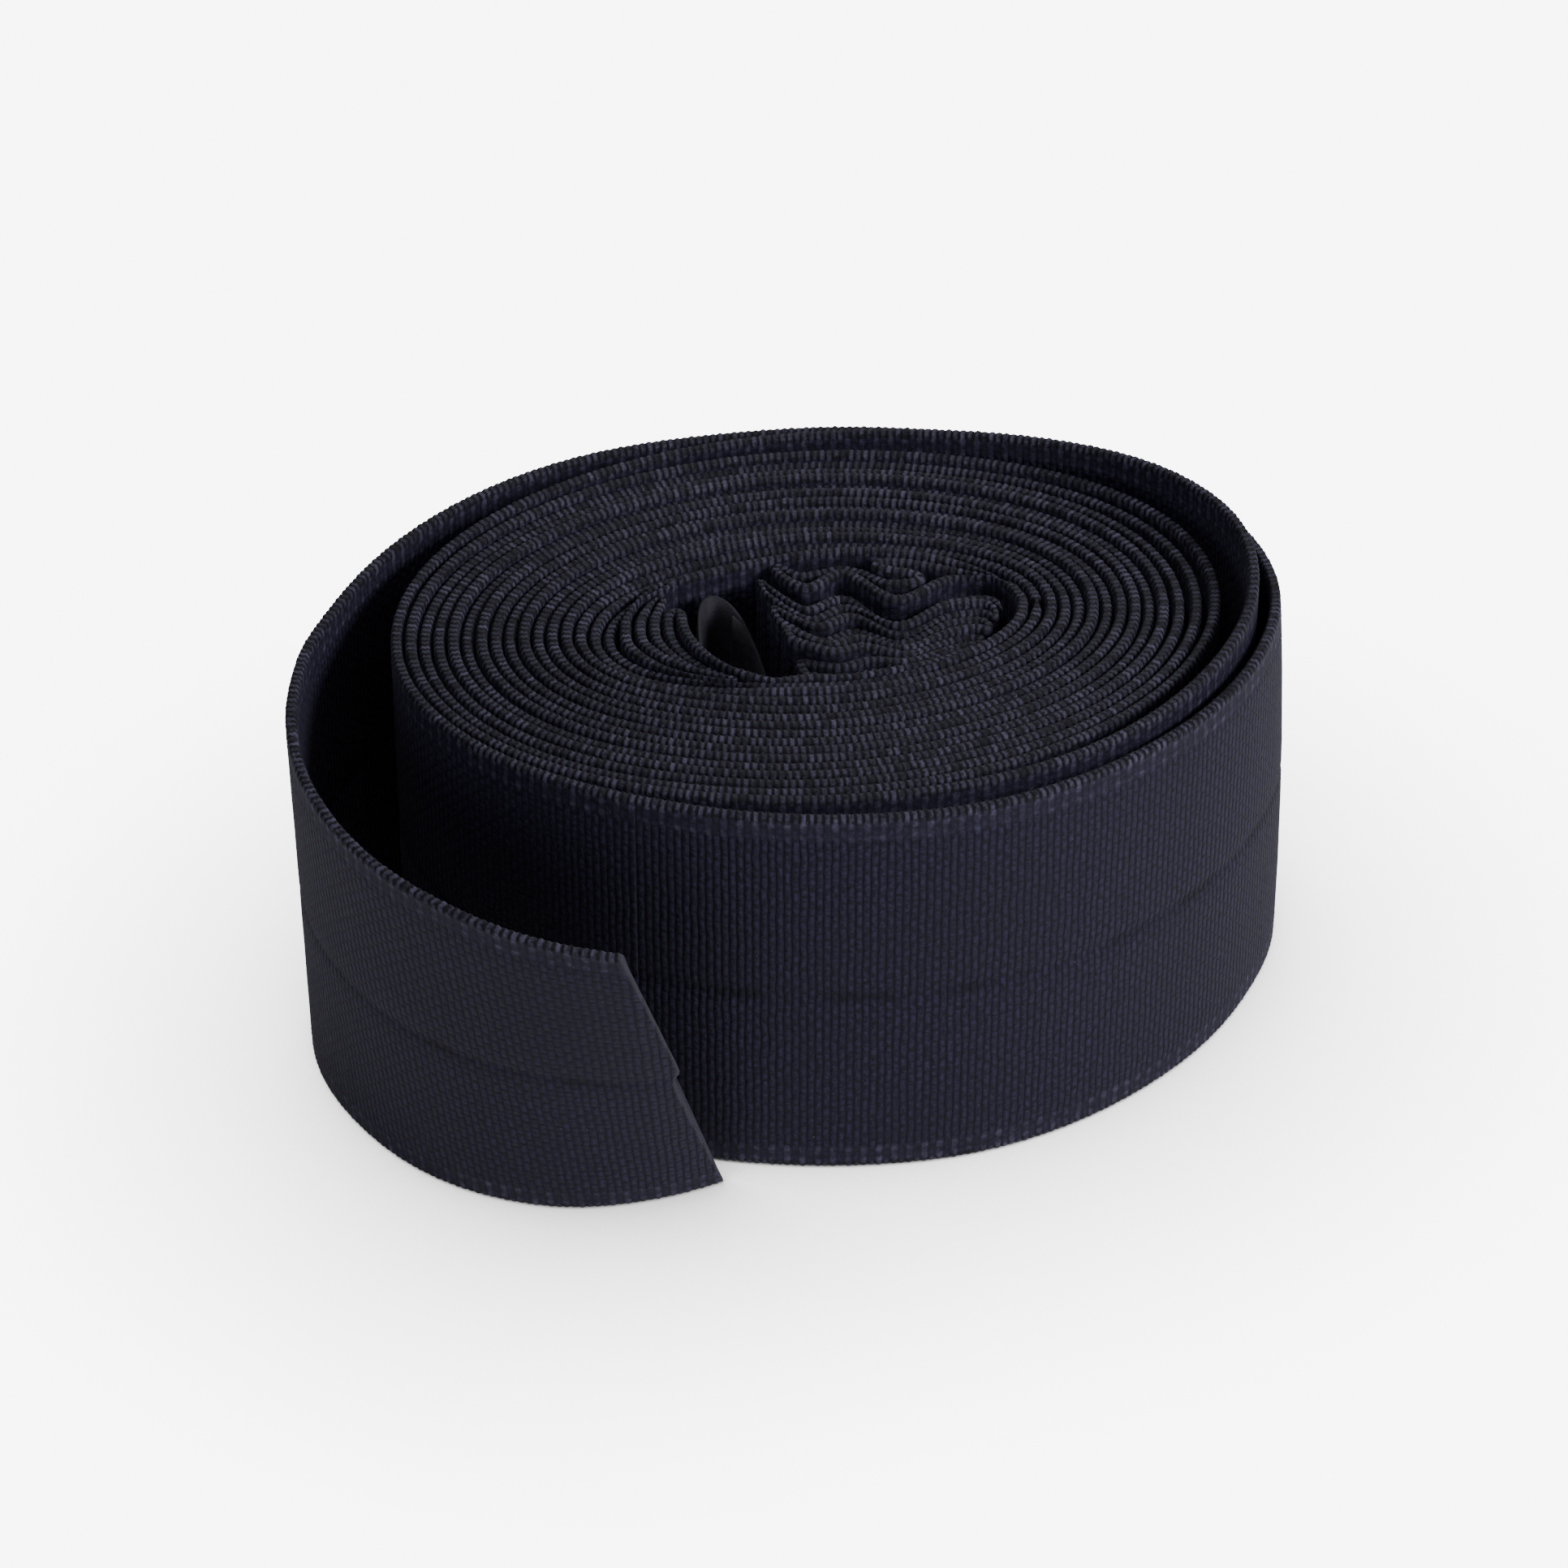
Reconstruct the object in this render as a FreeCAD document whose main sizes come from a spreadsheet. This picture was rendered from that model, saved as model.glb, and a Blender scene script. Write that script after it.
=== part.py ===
import FreeCAD, Part
import math
import os

# Hand wrap: one long elastic band rolled on edge into an oval roll, with its last turn loose.
# +Z is up, the roll rests on the plane Z = 0 and the origin is under the middle of the roll.
# Places along the band are turn angles in degrees: 0 is the right end of the roll, 90 the back,
# 180 the left end and 270 the front, and the angle keeps growing from the core to the free end.

DIMENSIONS = {
    "band_width": 50.0,
    "band_thickness": 1.35,
    "roll_half_length": 47.35,
    "roll_half_depth": 34.85,
    "roll_tilt_deg": 8.2,
    "pitch_long": 1.6,
    "pitch_deep": 1.52,
    "second_turn_rise": 4.2,
    "joint_gap": 1.6,
    "fit_gap": 0.25,
    "sewn_gap": 0.05,
    "patch_width": 40.0,
    "patch_thickness": 1.5,
    "stitch_margin": 2.0,
    "stitch_width": 0.9,
    "stitch_thickness": 0.3,
    "core_hole_half_length": 11.2,
    "core_hole_half_width": 4.8,
    "core_hole_lean_deg": 107.0,
    "fold_gap": 1.3,
    "loop_tape_width": 30.0,
    "loop_tape_thickness": 0.9,
    "loop_tape_bottom": 14.0,
    "bartack_length": 6.0,
    "bartack_height": 12.0,
    "bartack_thickness": 0.4,
}

# Turn angles where one piece of the band ends and the next begins.
CORE_END = -4320.0
SECOND_TURN_START = 240.0
REFERENCE_ANGLE = 540.0
OUTER_TURN_START = 600.0
RIGHT_BEND = 728.0
BACK_RIGHT_BEND = 770.0
BACK_LEFT_BEND = 838.0
LEFT_BEND = 868.0
LEFT_END_BEND = 896.0
FLAP_BEND = 925.0
FREE_END_LOW = 972.0
FREE_END_HIGH = 964.0

# How far the band stands off the reference oval, in mm at each turn angle: negative is nearer the core.
STAND_OFF = [
    (240, -1.33), (270, -0.6), (300, 0.9), (330, 1.7), (355, 3.0), (375, 3.5), (400, 3.1),
    (430, 1.5), (460, 0.7), (500, 0.3), (540, 0.0), (600, 0.7), (615, 1.7), (630, 2.8),
    (645, 3.8), (680, 4.0), (700, 5.1), (720, 7.9), (735, 8.6), (755, 6.9), (775, 4.7),
    (795, 3.7), (815, 3.8), (835, 5.0), (874, 6.2), (888, 7.8), (900, 10.8), (912, 13.4),
    (925, 14.8), (937, 15.5), (946, 14.9), (955, 13.0), (965, 8.8), (972, 5.1),
]
# How much further the top edge of the loose turn stands off than its bottom edge, in mm.
TOP_LEAN = [
    (680, 0.0), (700, -0.5), (720, -2.0), (735, -2.4), (760, -1.0), (790, 0.0), (900, 0.0),
    (912, 1.0), (925, 4.0), (937, 7.0), (946, 9.5), (955, 12.5), (965, 16.0),
]
# The centre of the eye-shaped hole in the core, and the line of the wavy gap that opens from it.
CORE_HOLE_CENTRE = (-8.0, -0.8)
FOLD_LINE = [
    (-7.0, 7.0), (-0.7, 5.5), (3.1, 8.3), (9.6, 3.2), (16.5, 7.6), (20.5, 7.4), (22.6, 3.2),
]

doc = FreeCAD.newDocument("hand_wrap")
sheet = doc.addObject("Spreadsheet::Sheet", "Dimensions")


def fill_sheet():
    """Writes each driving dimension as plain text with its alias."""
    for row, (alias, value) in enumerate(DIMENSIONS.items(), start=1):
        sheet.set(f"A{row}", alias)
        sheet.set(f"B{row}", str(value))
        sheet.setAlias(f"B{row}", alias)
    doc.recompute()


def size(alias):
    """The value of a driving dimension, read from the sheet."""
    return float(sheet.get(alias))


def smooth(knots, x):
    """A smooth curve through the knots (cubic Hermite), held flat past its ends and at its turning points."""
    xs = [k[0] for k in knots]
    ys = [k[1] for k in knots]
    if x <= xs[0]:
        return ys[0]
    if x >= xs[-1]:
        return ys[-1]
    slopes = [(ys[i + 1] - ys[i]) / (xs[i + 1] - xs[i]) for i in range(len(xs) - 1)]

    def slope_at(i):
        if i in (0, len(xs) - 1):
            return slopes[min(i, len(slopes) - 1)]
        before, after = slopes[i - 1], slopes[i]
        return 0.0 if before * after <= 0 else (before + after) / 2

    i = max(k for k in range(len(xs) - 1) if xs[k] <= x)
    span = xs[i + 1] - xs[i]
    t = (x - xs[i]) / span
    return (
        (2 * t**3 - 3 * t**2 + 1) * ys[i]
        + (t**3 - 2 * t**2 + t) * span * slope_at(i)
        + (3 * t**2 - 2 * t**3) * ys[i + 1]
        + (t**3 - t**2) * span * slope_at(i + 1)
    )


def turned(x, y, degrees):
    """A plan point turned about the Z axis."""
    c, s = math.cos(math.radians(degrees)), math.sin(math.radians(degrees))
    return FreeCAD.Vector(x * c - y * s, x * s + y * c, 0)


def centre_line(angle, share):
    """The middle of the band's thickness at a turn angle, at a share of its width from the bottom edge."""
    turns = (angle - REFERENCE_ANGLE) / 360.0
    half_length, half_depth = size("roll_half_length"), size("roll_half_depth")
    if angle < SECOND_TURN_START:
        half_length += size("pitch_long") * turns
        half_depth += size("pitch_deep") * turns
        stand_off = 0.0
    else:
        stand_off = smooth(STAND_OFF, angle)
    lean = smooth(TOP_LEAN, angle)
    c, s = math.cos(math.radians(angle)), math.sin(math.radians(angle))
    normal = FreeCAD.Vector(c / half_length, s / half_depth, 0).normalize()
    reach = stand_off + lean * share
    point = turned(half_length * c + normal.x * reach, half_depth * s + normal.y * reach, size("roll_tilt_deg"))
    width = size("band_width")
    point.z = share * math.sqrt(width**2 - lean**2)
    return point


def beside(angle, share, distance):
    """A point at a distance outward from the band's centre line (negative is towards the core)."""
    step = 0.5
    along = centre_line(angle + step, share) - centre_line(angle - step, share)
    outward = FreeCAD.Vector(along.y, -along.x, 0).normalize()
    return centre_line(angle, share) + outward * distance


def angle_after(angle, distance):
    """The turn angle that lies a distance further along the band's bottom edge."""
    step = 0.5
    travel = centre_line(angle + step, 0).distanceToPoint(centre_line(angle - step, 0))
    return angle + distance * 2 * step / travel


def side_curve(start, end, share, distance):
    """A smooth edge along the band at one height, at a distance from its centre line."""
    spacing = 15.0 if end - start > 720 else 4.0
    count = max(4, round((end - start) / spacing))
    curve = Part.BSplineCurve()
    curve.interpolate([beside(start + (end - start) * i / count, share, distance) for i in range(count + 1)])
    return curve.toShape()


def end_line(first, second, at_start):
    """The straight edge across the band's thickness between two side curves."""
    index = 0 if at_start else -1
    return Part.makeLine(first.Vertexes[index].Point, second.Vertexes[index].Point)


def half_turns(edge, start, end):
    """A long edge cut about every half turn, so that each wall of the band is a simple face."""
    count = math.ceil((end - start) / 180.0)
    first, last = edge.ParameterRange
    return edge.split([first + (last - first) * i / count for i in range(1, count)]).Edges


def upright_strip(start, end, inner, outer):
    """A stretch of band with upright walls over its whole width."""
    inside = side_curve(start, end, 0, inner)
    outside = side_curve(start, end, 0, outer)
    rim = [end_line(inside, outside, at_start) for at_start in (True, False)]
    for side in (inside, outside):
        rim += half_turns(side, start, end)
    face = Part.Face(Part.Wire(Part.__sortEdges__(rim)))
    return face.extrude(FreeCAD.Vector(0, 0, size("band_width")))


def skin(start, end_low, end_high, low, high, distance):
    """A smooth face along the band at a distance from its centre line, between two shares of its width."""
    along = max(4, round((end_low - start) / 4.0))
    across = 4
    grid = []
    for j in range(across + 1):
        share = low + (high - low) * j / across
        end = end_low + (end_high - end_low) * j / across
        grid.append([beside(start + (end - start) * i / along, share, distance) for i in range(along + 1)])
    surface = Part.BSplineSurface()
    surface.interpolate(grid)
    return surface.toShape()


def leaning_strip(start, end_low, end_high, inner, outer, low=0.0, high=1.0):
    """A stretch of band between two shares of its width, which may lean and be cut at a slant."""
    inside = skin(start, end_low, end_high, low, high, inner)
    outside = skin(start, end_low, end_high, low, high, outer)
    rim = [Part.makeRuledSurface(first, second) for first, second in zip(inside.Edges, outside.Edges)]
    shell = Part.Shell([inside, outside] + rim)
    shell.sewShape()
    solid = Part.Solid(shell)
    if solid.Volume < 0:
        solid.reverse()
    return solid


def feature(name, shape):
    """Adds a sub-part whose shape is worked out from the sheet."""
    part = doc.addObject("Part::Feature", name)
    part.Shape = shape
    part.Placement = FreeCAD.Placement()
    part.Label = name
    return part


def band_stretch(name, start, end_low, end_high=None):
    """One stretch of the loose turn, half a joint gap short of each bend."""
    half = size("band_thickness") / 2
    end_high = end_low if end_high is None else end_high
    return feature(name, leaning_strip(start, end_low, end_high, -half, half))


def before_bend(angle):
    return angle_after(angle, -size("joint_gap") / 2)


def past_bend(angle):
    return angle_after(angle, size("joint_gap") / 2)


def make_tight_turns():
    half = size("band_thickness") / 2
    return feature("tight_turns", upright_strip(CORE_END, SECOND_TURN_START, -half, half))


def make_second_turn():
    """The turn inside the loose one, which has ridden up at the right end of the roll."""
    half = size("band_thickness") / 2
    start = angle_after(SECOND_TURN_START, size("joint_gap") / 2)
    end = angle_after(OUTER_TURN_START, -size("joint_gap") / 2)
    shape = upright_strip(start, end, -half, half)
    slope = size("second_turn_rise") / (2 * size("roll_half_length"))
    shear = FreeCAD.Matrix()
    shear.A31 = slope
    shear.A34 = slope * size("roll_half_length") + size("sewn_gap")
    return feature("second_turn", shape.transformGeometry(shear))


def make_loose_turn():
    """The outermost turn: a stretch that stays on the roll, then the stretches that open at each bend."""
    start = past_bend(OUTER_TURN_START)
    band_stretch("outer_turn_front", start, before_bend(RIGHT_BEND))
    band_stretch("outer_turn_right", past_bend(RIGHT_BEND), before_bend(BACK_RIGHT_BEND))
    band_stretch("outer_turn_back", past_bend(BACK_RIGHT_BEND), before_bend(BACK_LEFT_BEND))
    band_stretch("outer_turn_back_left", past_bend(BACK_LEFT_BEND), before_bend(LEFT_BEND))
    band_stretch("outer_turn_left", past_bend(LEFT_BEND), before_bend(LEFT_END_BEND))
    band_stretch("outer_turn_front_left", past_bend(LEFT_END_BEND), before_bend(FLAP_BEND))
    band_stretch("free_end_flap", past_bend(FLAP_BEND), FREE_END_LOW, FREE_END_HIGH)


def sewn_patch(name, start, end_low, end_high, side):
    """A fastening patch on one face of the band (side 1 is outward), and the seam of thread around it."""
    face = size("band_thickness") / 2 + size("sewn_gap")
    back = face + size("patch_thickness")
    band_width = size("band_width")
    edge = (1 - size("patch_width") / band_width) / 2
    inner, outer = sorted((side * face, side * back))
    patch = leaning_strip(start, end_low, end_high, inner, outer, edge, 1 - edge)
    feature(name, patch)

    seam_face = back + size("sewn_gap")
    seam = sorted((side * seam_face, side * (seam_face + size("stitch_thickness"))))

    def frame(margin, reach):
        """The space inside a margin of the patch's border, between two distances from the band."""
        share = margin / band_width
        return leaning_strip(
            angle_after(start, margin), angle_after(end_low, -margin), angle_after(end_high, -margin),
            reach[0], reach[1], edge + share, 1 - edge - share,
        )

    margin = size("stitch_margin")
    extra = size("stitch_thickness")
    middle = frame(margin + size("stitch_width"), (seam[0] - extra, seam[1] + extra))
    feature(name + "_stitching", frame(margin, seam).cut(middle))


def make_patches():
    end_margin = 3.0
    sewn_patch("hook_patch", angle_after(FLAP_BEND, 6.0), angle_after(FREE_END_LOW, -7.0),
               angle_after(FREE_END_HIGH, -end_margin), -1)
    sewn_patch("loop_patch", angle_after(BACK_RIGHT_BEND, end_margin),
               angle_after(BACK_LEFT_BEND, -end_margin), angle_after(BACK_LEFT_BEND, -end_margin), 1)


def floor_sketch(body, name):
    """A sketch on the body's own horizontal origin plane."""
    sketch = body.newObject("Sketcher::SketchObject", name)
    plane = next(f for f in body.Origin.OriginFeatures if f.Role == "XY_Plane")
    sketch.AttachmentSupport = [(plane, "")]
    sketch.MapMode = "FlatFace"
    return sketch


def add_oval(sketch, centre, half_length, half_width, turn_deg):
    """Draws an oval whose long axis is turned from +X."""
    middle = FreeCAD.Vector(centre[0], centre[1], 0)
    long_end = middle + turned(half_length, 0, turn_deg)
    short_end = middle + turned(0, half_width, turn_deg)
    sketch.addGeometry(Part.Ellipse(long_end, short_end, middle), False)


def add_wavy_gap(sketch):
    """Draws the closed outline of the wavy gap, half the gap to each side of its line."""
    line = Part.BSplineCurve()
    line.interpolate([FreeCAD.Vector(x, y, 0) for x, y in FOLD_LINE])
    first, last = line.FirstParameter, line.LastParameter
    half = size("fold_gap") / 2
    count = 4 * len(FOLD_LINE)
    sides = []
    for side in (-1, 1):
        points = []
        for i in range(count + 1):
            t = first + (last - first) * i / count
            along = line.tangent(t)[0]
            points.append(line.value(t) + FreeCAD.Vector(-along.y, along.x, 0) * half * side)
        curve = Part.BSplineCurve()
        curve.interpolate(points)
        sides.append(curve)
        sketch.addGeometry(curve, False)
    sketch.addGeometry(Part.LineSegment(sides[0].StartPoint, sides[1].StartPoint), False)
    sketch.addGeometry(Part.LineSegment(sides[0].EndPoint, sides[1].EndPoint), False)


def pad(body, sketch, name, length):
    """Raises a sketch to a height from the sheet."""
    block = body.newObject("PartDesign::Pad", name)
    block.Profile = sketch
    block.setExpression("Length", length)
    doc.recompute()
    return block


def pocket_through(body, sketch, name):
    """Cuts a sketch through the body and makes sure that it took something away."""
    volume = body.Shape.Volume
    cut = body.newObject("PartDesign::Pocket", name)
    cut.Profile = sketch
    cut.Type = 1
    cut.Midplane = True
    doc.recompute()
    if not body.Shape.Volume < volume:
        raise RuntimeError(f"{name} cut nothing")


def make_core_folds():
    """The inner end of the band, folded on itself, with an eye-shaped hole and a wavy gap."""
    body = doc.addObject("PartDesign::Body", "core_folds")
    body.Label = "core_folds"
    turns = (CORE_END - REFERENCE_ANGLE) / 360.0
    inset = size("band_thickness") / 2 + size("fit_gap")
    half_length = size("roll_half_length") + size("pitch_long") * turns - inset
    half_depth = size("roll_half_depth") + size("pitch_deep") * turns - inset
    outline = floor_sketch(body, "core_outline")
    add_oval(outline, (0, 0), half_length, half_depth, size("roll_tilt_deg"))
    pad(body, outline, "core_block", "Dimensions.band_width")
    hole = floor_sketch(body, "hole_outline")
    add_oval(hole, CORE_HOLE_CENTRE, size("core_hole_half_length"), size("core_hole_half_width"),
             size("core_hole_lean_deg"))
    pocket_through(body, hole, "eye_hole")
    gap = floor_sketch(body, "gap_outline")
    add_wavy_gap(gap)
    pocket_through(body, gap, "wavy_gap")


def make_thumb_loop():
    """A narrower tape sewn into a loop, which lines the hole in the core."""
    body = doc.addObject("PartDesign::Body", "thumb_loop")
    body.Label = "thumb_loop"
    outline = floor_sketch(body, "loop_outline")
    outside = size("fit_gap")
    for inset in (outside, outside + size("loop_tape_thickness")):
        add_oval(outline, CORE_HOLE_CENTRE, size("core_hole_half_length") - inset,
                 size("core_hole_half_width") - inset, size("core_hole_lean_deg"))
    pad(body, outline, "loop_tape", "Dimensions.loop_tape_width")
    body.setExpression("Placement.Base.z", "Dimensions.loop_tape_bottom")


def make_bartack():
    """The block of zigzag stitches that closes the thumb loop, on the loop's inner face."""
    block = doc.addObject("Part::Box", "thumb_loop_bartack")
    block.Label = "thumb_loop_bartack"
    block.setExpression("Length", "Dimensions.bartack_length")
    block.setExpression("Width", "Dimensions.bartack_thickness")
    block.setExpression("Height", "Dimensions.bartack_height")
    wall = size("core_hole_half_width") - size("fit_gap") - size("loop_tape_thickness")
    lift = size("loop_tape_bottom") + (size("loop_tape_width") - size("bartack_height")) / 2
    sag = 0.2
    corner = turned(-size("bartack_length") / 2, -wall + sag, size("core_hole_lean_deg"))
    corner += FreeCAD.Vector(CORE_HOLE_CENTRE[0], CORE_HOLE_CENTRE[1], lift)
    block.Placement = FreeCAD.Placement(
        corner, FreeCAD.Rotation(FreeCAD.Vector(0, 0, 1), size("core_hole_lean_deg")))


def sub_parts():
    """Every sub-part of the document, each in its own object."""
    kinds = ("Part::Feature", "Part::Box", "PartDesign::Body")
    return [o for o in doc.Objects if o.TypeId in kinds]


def check_and_export():
    """Stops if any object failed, then writes each sub-part to its own file."""
    doc.recompute()
    for o in doc.Objects:
        if "Invalid" in o.State or "Error" in o.State:
            raise RuntimeError(f"{o.Label} failed: {o.State}")
    for o in sub_parts():
        if o.Shape.isNull() or not o.Shape.isValid() or o.Shape.Volume <= 0:
            raise RuntimeError(f"{o.Label} has no valid solid")
    os.makedirs("parts", exist_ok=True)
    for o in sub_parts():
        o.Shape.exportStep(f"parts/{o.Label}.step")
        box = o.Shape.BoundBox
        print(f"{o.Label}: {o.Shape.Volume:.0f} mm3, {len(o.Shape.Solids)} solid, "
              f"x {box.XMin:.1f} to {box.XMax:.1f}, y {box.YMin:.1f} to {box.YMax:.1f}, "
              f"z {box.ZMin:.2f} to {box.ZMax:.2f}")


fill_sheet()
make_core_folds()
make_thumb_loop()
make_bartack()
make_tight_turns()
make_second_turn()
make_loose_turn()
make_patches()
check_and_export()
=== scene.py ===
import math

import bpy
import numpy as np
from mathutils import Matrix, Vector


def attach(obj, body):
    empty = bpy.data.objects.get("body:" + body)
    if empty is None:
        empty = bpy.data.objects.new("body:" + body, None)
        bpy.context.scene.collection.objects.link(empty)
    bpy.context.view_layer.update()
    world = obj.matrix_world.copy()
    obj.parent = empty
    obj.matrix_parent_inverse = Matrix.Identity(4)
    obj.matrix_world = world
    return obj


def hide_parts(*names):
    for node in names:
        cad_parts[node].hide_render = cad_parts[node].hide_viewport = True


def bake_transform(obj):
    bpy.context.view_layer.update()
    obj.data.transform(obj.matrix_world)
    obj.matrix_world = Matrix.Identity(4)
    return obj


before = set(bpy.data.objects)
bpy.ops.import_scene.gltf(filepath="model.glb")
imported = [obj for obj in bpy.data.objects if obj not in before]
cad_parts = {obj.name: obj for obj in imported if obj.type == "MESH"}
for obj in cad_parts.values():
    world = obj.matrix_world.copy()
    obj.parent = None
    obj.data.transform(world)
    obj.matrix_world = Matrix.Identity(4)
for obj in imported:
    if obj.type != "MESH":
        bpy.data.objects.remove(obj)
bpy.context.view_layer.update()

# Hand wrap: one long elastic band rolled on edge, with its last turn loose. Sizes are in millimetres
# until a mesh is made. Places along the band are turn angles in degrees, as in the CAD source:
# 0 is the right end of the roll, 90 the back, 180 the left end and 270 the front.

MM = 0.001
SEED = 11
WIDTH = 50.0
THICKNESS = 1.35
HALF_LENGTH, HALF_DEPTH, TILT = 47.35, 34.85, 8.2
PITCH_LONG, PITCH_DEEP = 1.6, 1.52
LOOP_PITCH = 0.86
RING_SPACING = LOOP_PITCH / 4
HALF_STEP = 0.25
CORE_END = -4320.0
SECOND_TURN_START, REFERENCE_ANGLE, OUTER_TURN_START = 240.0, 540.0, 600.0
RIGHT_BEND, BACK_RIGHT_BEND, BACK_LEFT_BEND = 728.0, 770.0, 838.0
LEFT_BEND, LEFT_END_BEND, FLAP_BEND = 868.0, 896.0, 925.0
FREE_END_LOW, FREE_END_HIGH = 972.0, 964.0
PATCH_WIDTH, PATCH_GROUND, PATCH_GAP = 40.0, 0.55, 0.04
PATCH_LOW, PATCH_HIGH = (WIDTH - PATCH_WIDTH) / 2, (WIDTH + PATCH_WIDTH) / 2
SEAM_MARGIN = 2.4
STITCH_PITCH, HOOK_PITCH, PILE_PITCH = 2.6, 1.25, 1.0
LOOP_TAPE_WIDTH, LOOP_TAPE_THICKNESS, LOOP_TAPE_BOTTOM = 30.0, 0.8, 14.0
# The outer tight turns have spread: where most, by how much there, and over how many degrees either
# side and how many degrees of winding this dies away.
SLACK_ANGLE, SLACK_MOST, SLACK_EITHER_SIDE, SLACK_WINDING = 22.0, 2.7, 38.0, 1300.0
# The turn angles where the band is cut into pieces: the tight turns, then the loose turn.
TIGHT_CUTS = [CORE_END, -2700.0, -1440.0, -500.0, SECOND_TURN_START]
LOOSE_CUTS = [OUTER_TURN_START, 749.0, 804.0, 853.0, 882.0, 910.5, FREE_END_LOW]

# How far the band stands off the reference oval, at each turn angle.
STAND_OFF = [
    (240, -1.33), (270, -0.6), (300, 0.9), (330, 1.7), (355, 3.0), (375, 3.5), (400, 3.1),
    (430, 1.5), (460, 0.7), (500, 0.3), (540, 0.0), (600, 0.7), (615, 1.7), (630, 2.8),
    (645, 3.8), (680, 4.0), (700, 5.1), (720, 7.9), (735, 8.6), (755, 6.9), (775, 4.7),
    (795, 3.7), (815, 3.8), (835, 5.0), (874, 6.2), (888, 7.8), (900, 10.8), (912, 13.4),
    (925, 14.8), (937, 15.5), (946, 14.9), (955, 13.0), (965, 8.8), (972, 5.1),
]
# How much further the top edge of the loose turn stands off than its bottom edge.
TOP_LEAN = [
    (680, 0.0), (700, -0.5), (720, -2.0), (735, -2.4), (760, -1.0), (790, 0.0), (900, 0.0),
    (912, 1.0), (925, 4.0), (937, 7.0), (946, 9.5), (955, 12.5), (965, 16.0),
]
# How far the second turn has ridden up.
RISE = [
    (240, 0.0), (270, 0.3), (310, 1.2), (340, 2.8), (365, 4.2), (385, 3.6), (410, 2.2),
    (440, 1.2), (480, 0.6), (520, 0.2), (540, 0.0),
]
# The middle of the eye-shaped hole that holds the thumb loop, and the lean of its long axis in degrees.
HOLE_CENTRE, HOLE_LEAN = (-8.0, -0.8), 107.0
# The wavy gap in the core, left to right, and the folds of the band around the eye hole and the gap.
WAVY_GAP = [(-6.6, 11.4), (-3.2, 7.7), (-0.7, 5.7), (3.1, 8.3), (9.6, 3.2), (16.5, 7.6), (20.5, 7.4),
            (22.6, 3.2)]
REAR_FOLD = [
    (18.6, 9.3), (16.0, 10.1), (12.5, 11.1), (8.6, 11.5), (7.0, 10.8), (8.6, 10.0), (11.4, 9.3), (12.6, 8.6),
    (11.2, 7.7), (8.4, 7.8), (5.8, 10.0), (3.2, 11.2), (0.5, 10.3), (-1.5, 9.9), (-3.4, 11.3), (-4.0, 11.9),
]
LEFT_OUTER_FOLD = [(-15.2, 8.6), (-18.6, 6.6), (-21.4, 3.4), (-22.9, -0.8), (-22.6, -4.8), (-19.6, -8.6),
                   (-15.0, -11.2), (-10.0, -12.6), (-6.0, -13.1)]
LEFT_INNER_FOLD = [(-14.3, 8.3), (-14.9, 6.0), (-15.0, 2.6), (-14.8, -0.6), (-14.0, -3.6), (-12.6, -6.4),
                   (-10.6, -8.8), (-8.0, -10.7), (-4.6, -12.0)]
LAST_REAR_START, LAST_REAR_END = [(-4.4, 11.0), (-3.4, 9.4)], [(22.9, 6.6), (24.0, 3.6), (23.7, 0.6)]
FRONT_FOLD = [(-0.2, -11.0), (4.0, -10.9), (9.5, -9.5), (14.0, -7.7), (18.2, -4.7)]
# The share of each fold left of the hole that is left off at its top and bottom.
LEFT_CUTS = [(0.05, 0.08), (0.15, 0.08), (0.15, 0.16), (0.25, 0.16), (0.25, 0.0)]

# The course of one hook and of one loop of the pile: along the band, up it, and out of the patch.
HOOK = [(0, 0, -0.1), (0, 0, 0.45), (0.08, 0, 0.72), (0.26, 0, 0.8), (0.4, 0, 0.66), (0.42, 0, 0.5)]
PILE_LOOP = [(-0.4, 0, -0.1), (-0.42, 0, 0.4), (-0.2, 0, 0.75), (0.15, 0, 0.8), (0.42, 0, 0.5),
             (0.36, 0, -0.1)]

# Where the thumb loop's tape stands highest in the hole.
THUMB_LOOP_HIGH_SIDE = (-12.5, 7.5)

# The camera and what it looks at, in metres and degrees.
AIM, CAMERA_DISTANCE, CAMERA_ELEVATION = (-0.0033, 0.0013, 0.025), 0.65, 37.0
LAMP_TARGET = (0, 0, 0.025)

random = np.random.default_rng(SEED)


# ---------------------------------------------------------------- curves

def smooth(knots, x):
    """A smooth curve through the knots (cubic Hermite), held flat past its ends."""
    xs, ys = np.array(knots, float).T
    step = np.diff(ys) / np.diff(xs)
    slope = np.concatenate([step[:1], (step[:-1] + step[1:]) / 2, step[-1:]])
    slope[1:-1][step[:-1] * step[1:] <= 0] = 0
    x = np.clip(x, xs[0], xs[-1])
    i = np.clip(np.searchsorted(xs, x, side="right") - 1, 0, len(xs) - 2)
    span = xs[i + 1] - xs[i]
    t = (x - xs[i]) / span
    return ((2 * t**3 - 3 * t**2 + 1) * ys[i] + (t**3 - 2 * t**2 + t) * span * slope[i]
            + (3 * t**2 - 2 * t**3) * ys[i + 1] + (t**3 - t**2) * span * slope[i + 1])


def turned(x, y, degrees):
    c, s = math.cos(math.radians(degrees)), math.sin(math.radians(degrees))
    return x * c - y * s, x * s + y * c


def lean_profile(share, angle):
    """How the lean grows over the band's width: evenly at the flap, mostly near the top at the right end."""
    bulge = np.clip((790.0 - angle) / 30.0, 0, 1)
    return share * (1 - bulge) + share**2.2 * bulge


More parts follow.
